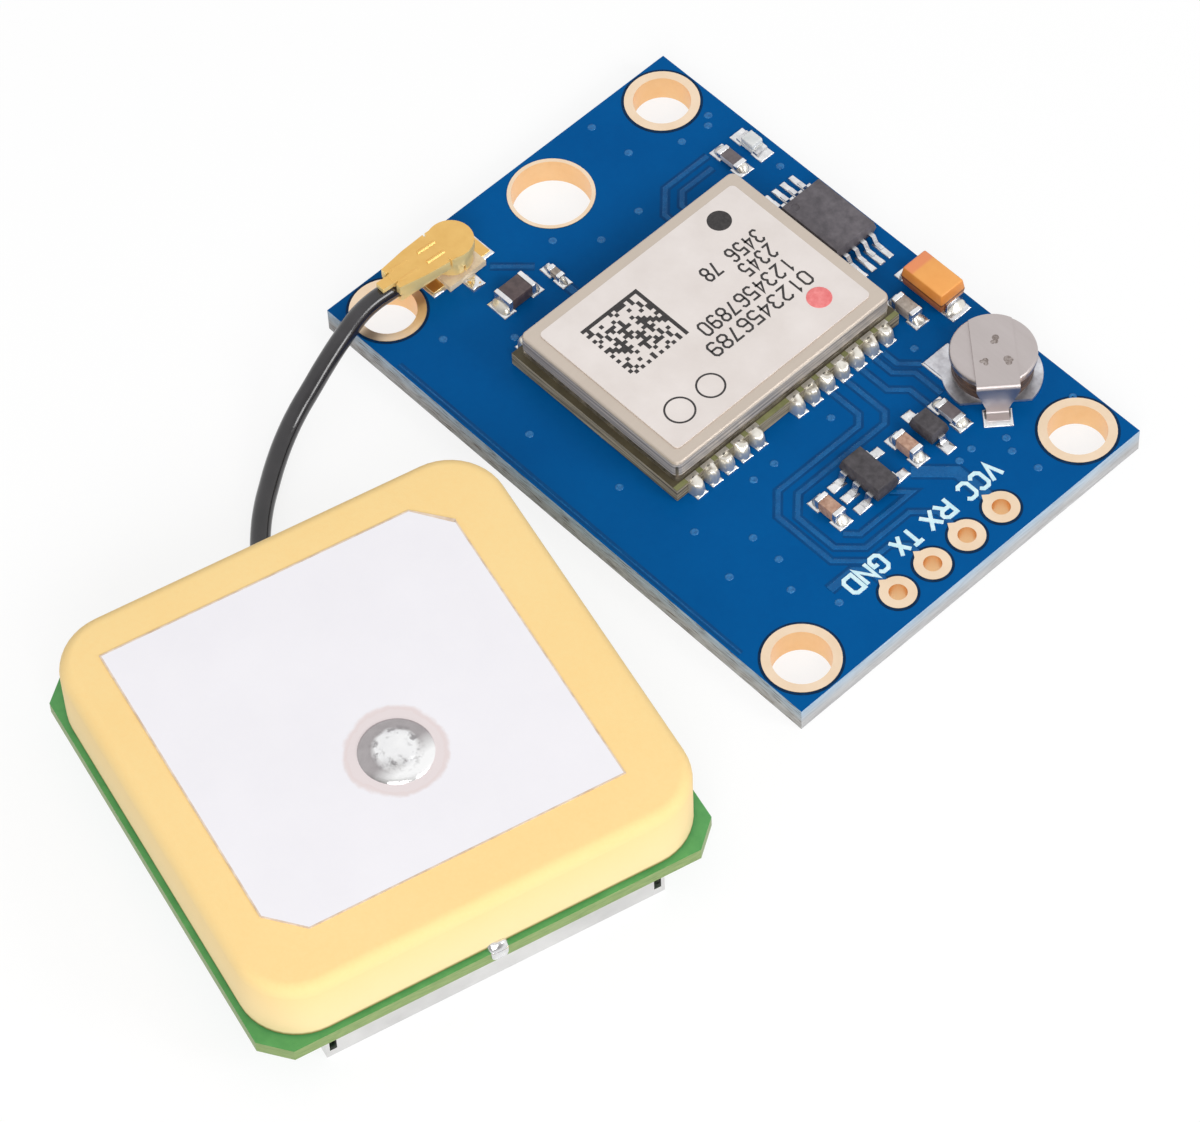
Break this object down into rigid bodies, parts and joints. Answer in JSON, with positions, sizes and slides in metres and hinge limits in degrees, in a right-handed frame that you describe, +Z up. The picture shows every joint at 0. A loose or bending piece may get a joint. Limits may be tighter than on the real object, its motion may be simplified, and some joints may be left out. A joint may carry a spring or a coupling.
{
  "type": "satellite positioning module",
  "caption": "Blue breakout board with a shielded satellite receiver, joined by a short coaxial cable to a square ceramic patch antenna.",
  "frame": {"origin": "centre of the four mounting holes, on the board's underside", "axes": "+Z up out of the component side, +X along the board towards the header holes"},
  "size_m": [0.0389, 0.058, 0.0078],
  "materials": {
    "board_mask": "glossy blue solder mask over glass-fibre board",
    "gold_plating": "thin gold plating",
    "tinned": "bright tin and solder",
    "carrier": "green glass-fibre carrier board",
    "shield_metal": "satin nickel silver sheet",
    "label": "pale matt label",
    "black_mould": "black moulded epoxy",
    "grey_mould": "worn dark grey moulded epoxy",
    "orange_mould": "orange moulded epoxy",
    "tan_ceramic": "tan chip ceramic",
    "pale_ceramic": "pale grey chip ceramic",
    "dark_ceramic": "dark ferrite ceramic",
    "lamp_white": "white lamp base",
    "lamp_clear": "clear cast lens",
    "cell_metal": "satin stainless steel",
    "cell_gasket": "dark brown moulded gasket",
    "socket_mould": "beige moulded base",
    "white_insulator": "white insulator",
    "cable_jacket": "black smooth jacket",
    "antenna_ceramic": "fine matt yellow ceramic",
    "silver_print": "fired silver print",
    "antenna_board": "green glass-fibre board",
    "tape": "double-sided tape"
  },
  "bodies": {
    "root": {"circuit_board": "board_mask", "mounting_hole_rings": "gold_plating", "large_hole_lining": "gold_plating", "header_hole_rings": "gold_plating", "solder_lands": "tinned", "solder_fillets": "tinned", "receiver_board": "carrier", "receiver_terminals": "gold_plating", "receiver_fence": "shield_metal", "receiver_lid": "shield_metal", "receiver_label": "label", "receiver_main_chip": "black_mould", "receiver_oscillator": "shield_metal", "receiver_crystal": "shield_metal", "receiver_filter": "tan_ceramic", "receiver_small_chips": "tan_ceramic", "memory_body": "grey_mould", "memory_leads": "tinned", "tantalum_body": "orange_mould", "tantalum_terminals": "tinned", "regulator_body": "black_mould", "regulator_leads": "tinned", "diode_body": "black_mould", "diode_leads": "tinned", "corner_capacitor": "tan_ceramic", "output_capacitor": "tan_ceramic", "input_capacitor": "tan_ceramic", "lamp_resistor": "pale_ceramic", "charge_resistor": "pale_ceramic", "bias_inductor": "dark_ceramic", "radio_capacitor": "pale_ceramic", "chip_end_caps": "tinned", "lamp_base": "lamp_white", "lamp_lens": "lamp_clear", "lamp_terminals": "gold_plating", "cell_plate": "cell_metal", "cell_can": "cell_metal", "cell_gasket": "cell_gasket", "cell_cap": "cell_metal", "cell_strap": "cell_metal", "socket_base": "socket_mould", "socket_ring": "gold_plating", "socket_pin": "gold_plating", "plug_shell": "gold_plating", "plug_insulator": "white_insulator", "plug_contact": "gold_plating", "antenna_cable": "cable_jacket", "antenna_ceramic": "antenna_ceramic", "antenna_patch": "silver_print", "antenna_feed_pin": "tinned", "antenna_feed_solder": "tinned", "antenna_tape": "tape", "antenna_board": "antenna_board", "antenna_can": "tinned", "antenna_can_joints": "tinned", "antenna_amplifier": "black_mould", "antenna_filter": "tan_ceramic", "antenna_small_chips": "tan_ceramic", "antenna_cable_joint": "tinned"}
  },
  "joints": []
}
